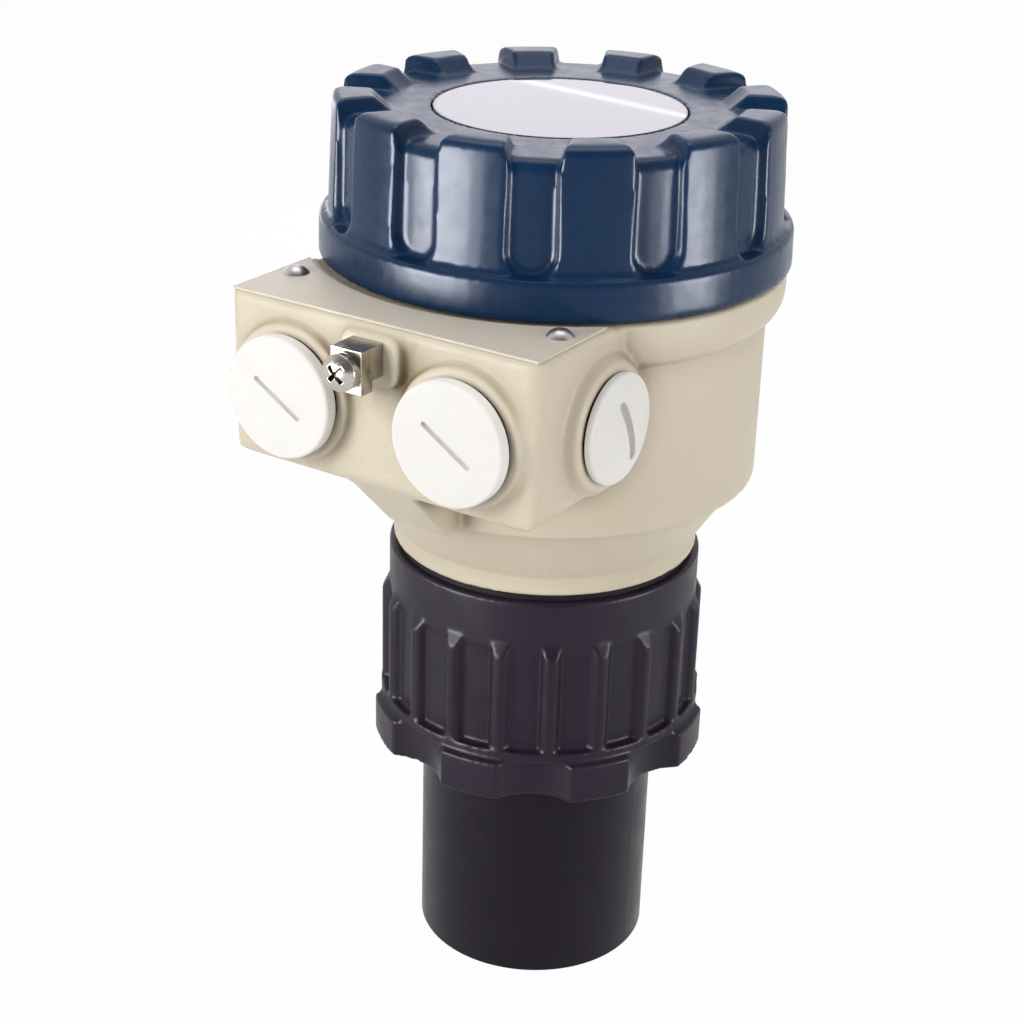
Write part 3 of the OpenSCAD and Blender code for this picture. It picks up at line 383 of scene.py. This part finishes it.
def take(piece):
    """Makes a piece the only selected and active object."""
    bpy.ops.object.select_all(action="DESELECT")
    piece.select_set(True)
    bpy.context.view_layer.objects.active = piece


def apply(piece, kind, **values):
    """Adds a modifier with the given values and applies it."""
    modifier = piece.modifiers.new(kind.lower(), kind)
    for name, value in values.items():
        setattr(modifier, name, value)
    bpy.ops.object.modifier_apply(modifier=modifier.name)


def cast_copy(node, voxel, passes, share, shown):
    """A dressed node's copy, in its place, with a casting's soft edges and fillets on the shown faces."""
    piece = bpy.data.objects.new(node + "_casting", nodes[node].data.copy())
    scene.collection.objects.link(piece)
    take(piece)
    bpy.ops.object.mode_set(mode="EDIT")
    bpy.ops.mesh.select_all(action="SELECT")
    bpy.ops.mesh.remove_doubles(threshold=MERGE_GAP)
    bpy.ops.object.mode_set(mode="OBJECT")
    apply(piece, "REMESH", mode="VOXEL", voxel_size=voxel)
    group = piece.vertex_groups.new(name="shown")
    group.add([corner.index for corner in piece.data.vertices if shown(corner.co)], 1.0, "ADD")
    apply(piece, "SMOOTH", factor=0.5, iterations=passes, vertex_group=group.name)
    apply(piece, "DECIMATE", ratio=share)
    piece.vertex_groups.clear()
    bpy.ops.object.shade_smooth()
    join_up(piece, node)
    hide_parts(node)


def cover_shown(place):
    """The cover's outside, without the seat of the window and the rim's underside."""
    window_seat, rim_foot = 0.0295, 0.1848
    return place.xy.length > window_seat and place.z > rim_foot


def collar_shown(place):
    """The collar's outside, without its bores."""
    widest_bore = 0.0345
    return place.xy.length > widest_bore


def housing_shown(place):
    """The housing's outside, without its chamber, its thread, its neck bore and its entries."""
    chamber_reach, chamber_floor = 0.048, 0.1325
    neck_bore, neck_foot = 0.031, 0.1116
    box_side, box_rear, box_front, box_floor, box_roof = 0.0378, 0.035, 0.0673, 0.1486, 0.182
    entry_reach = 0.0112
    front_entry_aside, front_entry_height, front_entry_rear = 0.022, 0.1648, 0.05
    side_entry_front, side_entry_height, side_entry_inner = 0.0438, 0.1636, 0.03
    aside, front, height = abs(place.x), -place.y, place.z
    reach = place.xy.length
    off_front_entry = math.hypot(aside - front_entry_aside, height - front_entry_height)
    off_side_entry = math.hypot(front - side_entry_front, height - side_entry_height)
    in_chamber = reach < chamber_reach and height > chamber_floor
    in_neck = reach < neck_bore or height < neck_foot
    in_box = aside < box_side and box_rear < front < box_front and box_floor < height < box_roof
    in_front_entry = front > front_entry_rear and off_front_entry < entry_reach
    in_side_entry = aside > side_entry_inner and off_side_entry < entry_reach
    return not (in_chamber or in_neck or in_box or in_front_entry or in_side_entry)


def thread(name, node, radius, pitch, turns, place, turn):
    """A screw thread around a node: a three-cornered ridge wound up along its own Z, then placed."""
    rise, sunk, ridge_share, steps = 0.0002, 0.00006, 0.46, 56
    depth = (rise + sunk) / 1.5
    bpy.ops.object.select_all(action="DESELECT")
    bpy.ops.mesh.primitive_circle_add(
        vertices=3, radius=1.0, location=(radius + rise - depth, 0.0, 0.0),
        rotation=(math.radians(90.0), math.radians(90.0), 0.0))
    piece = bpy.context.active_object
    piece.name = name
    piece.scale = (ridge_share * pitch, depth, 1.0)
    bpy.ops.object.transform_apply(location=True, rotation=True, scale=True)
    apply(piece, "SCREW", axis="Z", angle=math.radians(360.0), screw_offset=pitch, iterations=turns,
          steps=steps, render_steps=steps, use_smooth_shade=False)
    bpy.ops.object.mode_set(mode="EDIT")
    bpy.ops.mesh.select_all(action="SELECT")
    bpy.ops.mesh.remove_doubles(threshold=MERGE_GAP)
    bpy.ops.mesh.fill_holes(sides=3)
    bpy.ops.mesh.select_all(action="SELECT")
    bpy.ops.mesh.normals_make_consistent(inside=False)
    bpy.ops.object.mode_set(mode="OBJECT")
    piece.location = place
    piece.rotation_euler = turn
    bpy.ops.object.transform_apply(location=True, rotation=True, scale=True)
    bpy.ops.object.shade_smooth_by_angle(angle=math.radians(35.0))
    piece.data.materials.append(nodes[node].data.materials[0])
    join_up(piece, node)


def axis_of(node):
    """The middle of a node's box at rest, through which the axis of a round piece runs."""
    low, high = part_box(node)
    return (low + high) / 2.0


def cut_threads():
    """Threads on the pieces that unscrew, and on the housing's mouth."""
    upright = (0.0, 0.0, 0.0)
    rearward = (math.radians(-90.0), 0.0, 0.0)
    sideways = (0.0, math.radians(90.0), 0.0)
    plug_radius, entry_aside = 0.01, 0.022
    mouth_foot, front_start, screw_start = 0.1882, -0.0722, -0.0803
    left_start, right_start = -0.0427, 0.0331
    thread("mouth_thread", "housing", radius=0.0465, pitch=0.002, turns=5,
           place=(0.0, 0.0, mouth_foot), turn=upright)
    for side, aside in (("left", -entry_aside), ("right", entry_aside)):
        node = "front_" + side + "_plug"
        thread(node + "_thread", node, radius=plug_radius, pitch=0.0015, turns=6,
               place=(aside, front_start, axis_of(node).z), turn=rearward)
    for side, start in (("left", left_start), ("right", right_start)):
        node = side + "_side_plug"
        thread(node + "_thread", node, radius=plug_radius, pitch=0.0018, turns=5,
               place=(start, axis_of(node).y, axis_of(node).z), turn=sideways)
    thread("earth_screw_thread", "earth_screw", radius=0.002, pitch=0.0007, turns=17,
           place=(0.0, screw_start, axis_of("earth_screw").z), turn=rearward)


# Stage

def soft_box(name, place, target, size, power, colour=(1.0, 1.0, 1.0), turn=0.0, lights="all"):
    """A soft light aimed at a target and turned about its own axis, for all faces or for one kind of ray."""
    aim = Vector(place) - Vector(target)
    data = bpy.data.lights.new(name, "AREA")
    data.shape = "RECTANGLE"
    data.size, data.size_y = size
    data.energy = power
    data.color = colour
    lamp = bpy.data.objects.new(name, data)
    lamp.location = place
    facing = aim.to_track_quat("Z", "Y").to_matrix() @ Matrix.Rotation(math.radians(turn), 3, "Z")
    lamp.rotation_euler = facing.to_euler()
    lamp.visible_camera = False
    lamp.visible_diffuse = lights != "sheen"
    lamp.visible_glossy = lights != "surface"
    scene.collection.objects.link(lamp)


def hang_lights():
    """Tall soft boxes around the part and one above, and others that only shine on glossy faces."""
    middle = (0.0, 0.0, 0.17)
    top = (0.0, 0.02, 0.216)
    warm = (1.0, 0.99, 0.97)
    faintly_warm = (1.0, 0.99, 0.98)
    lilac = (0.93, 0.88, 1.0)
    soft_box("left_light", (-0.2, -0.62, 0.42), middle, size=(0.2, 0.5), power=3.3, colour=warm,
             lights="surface")
    soft_box("right_light", (0.64, -0.06, 0.3), middle, size=(0.2, 0.5), power=1.9, colour=faintly_warm,
             lights="surface")
    soft_box("rear_light", (-0.4, 0.58, 0.35), middle, size=(0.3, 0.5), power=2.0, lights="surface")
    soft_box("top_light", (-0.1, 0.15, 0.95), middle, size=(0.6, 0.5), power=2.2)
    soft_box("left_sheen", (-0.173, -0.388, 0.145), middle, size=(0.26, 0.15), power=4.6, lights="sheen")
    soft_box("right_sheen", (0.42, 0.04, 0.145), middle, size=(0.16, 0.15), power=2.1, lights="sheen")
    soft_box("far_left_sheen", (-0.62, 0.36, 0.14), middle, size=(0.3, 0.16), power=0.3, colour=lilac,
             lights="sheen")
    soft_box("back_sheen", (-0.49, 0.86, 0.46), top, size=(0.7, 0.22), power=0.64, colour=lilac,
             lights="sheen")
    soft_box("back_streak", (-0.494, 0.86, 0.439), top, size=(0.165, 0.0025), power=0.0018, turn=-10.0,
             lights="sheen")


def light_room():
    """A world that lights the part dimly and shows as white where the background is seen."""
    world = bpy.data.worlds.new("studio")
    world.use_nodes = True
    tree = world.node_tree
    tree.nodes.clear()
    room = tree.nodes.new("ShaderNodeBackground")
    room.inputs["Color"].default_value = (0.93, 0.92, 0.95, 1.0)
    room.inputs["Strength"].default_value = 0.2
    sight = tree.nodes.new("ShaderNodeBackground")
    sight.inputs["Color"].default_value = (1.0, 1.0, 1.0, 1.0)
    mix = tree.nodes.new("ShaderNodeMixShader")
    out = tree.nodes.new("ShaderNodeOutputWorld")
    tree.links.new(far_side(tree), sight.inputs["Strength"])
    tree.links.new(seen_rays(tree), mix.inputs["Fac"])
    tree.links.new(room.outputs["Background"], mix.inputs[1])
    tree.links.new(sight.outputs["Background"], mix.inputs[2])
    tree.links.new(mix.outputs["Shader"], out.inputs["Surface"])
    scene.world = world


def far_side(tree):
    """White background where it is seen straight, and in reflections white behind the part, dim in front."""
    place = tree.nodes.new("ShaderNodeTexCoord")
    front = tree.nodes.new("ShaderNodeVectorMath")
    front.operation = "DOT_PRODUCT"
    front.inputs[1].default_value = (0.52, -0.85, 0.0)
    fall = tree.nodes.new("ShaderNodeMapRange")
    fall.inputs["From Min"].default_value = -0.3
    fall.inputs["From Max"].default_value = 0.6
    fall.inputs["To Min"].default_value = 1.0
    fall.inputs["To Max"].default_value = 0.15
    path = tree.nodes.new("ShaderNodeLightPath")
    most = tree.nodes.new("ShaderNodeMath")
    most.operation = "MAXIMUM"
    tree.links.new(place.outputs["Generated"], front.inputs[0])
    tree.links.new(front.outputs["Value"], fall.inputs["Value"])
    tree.links.new(fall.outputs["Result"], most.inputs[0])
    tree.links.new(path.outputs["Is Camera Ray"], most.inputs[1])
    return most.outputs["Value"]


def seen_rays(tree):
    """One for the rays that show the background: straight ones, reflected ones and those through glass."""
    path = tree.nodes.new("ShaderNodeLightPath")
    either = path.outputs["Is Camera Ray"]
    for kind in ("Is Glossy Ray", "Is Transmission Ray"):
        more = tree.nodes.new("ShaderNodeMath")
        more.operation = "MAXIMUM"
        tree.links.new(either, more.inputs[0])
        tree.links.new(path.outputs[kind], more.inputs[1])
        either = more.outputs["Value"]
    return either


def lay_floor():
    """A plain white floor that keeps a faint shadow."""
    below_part, white_share = -0.0003, 0.975
    bpy.ops.object.select_all(action="DESELECT")
    bpy.ops.mesh.primitive_plane_add(size=6.0, location=(0.0, 0.0, below_part))
    floor = bpy.context.active_object
    floor.name = "floor"
    material = bpy.data.materials.new("floor_white")
    material.use_nodes = True
    tree = material.node_tree
    tree.nodes.clear()
    paper = tree.nodes.new("ShaderNodeBsdfDiffuse")
    paper.inputs["Color"].default_value = (0.78, 0.78, 0.78, 1.0)
    glow = tree.nodes.new("ShaderNodeEmission")
    glow.inputs["Strength"].default_value = 1.0
    share = tree.nodes.new("ShaderNodeMath")
    share.operation = "MULTIPLY"
    share.inputs[1].default_value = white_share
    mix = tree.nodes.new("ShaderNodeMixShader")
    out = tree.nodes.new("ShaderNodeOutputMaterial")
    tree.links.new(seen_rays(tree), share.inputs[0])
    tree.links.new(share.outputs["Value"], mix.inputs["Fac"])
    tree.links.new(paper.outputs["BSDF"], mix.inputs[1])
    tree.links.new(glow.outputs["Emission"], mix.inputs[2])
    tree.links.new(mix.outputs["Shader"], out.inputs["Surface"])
    floor.data.materials.append(material)


scene.view_settings.view_transform = "Standard"
place_camera()
dress_nodes()
cast_copy("cover", voxel=0.0006, passes=8, share=0.45, shown=cover_shown)
cast_copy("housing", voxel=0.0006, passes=4, share=0.34, shown=housing_shown)
cast_copy("process_collar", voxel=0.0005, passes=5, share=0.4, shown=collar_shown)
cut_threads()
hang_lights()
light_room()
lay_floor()
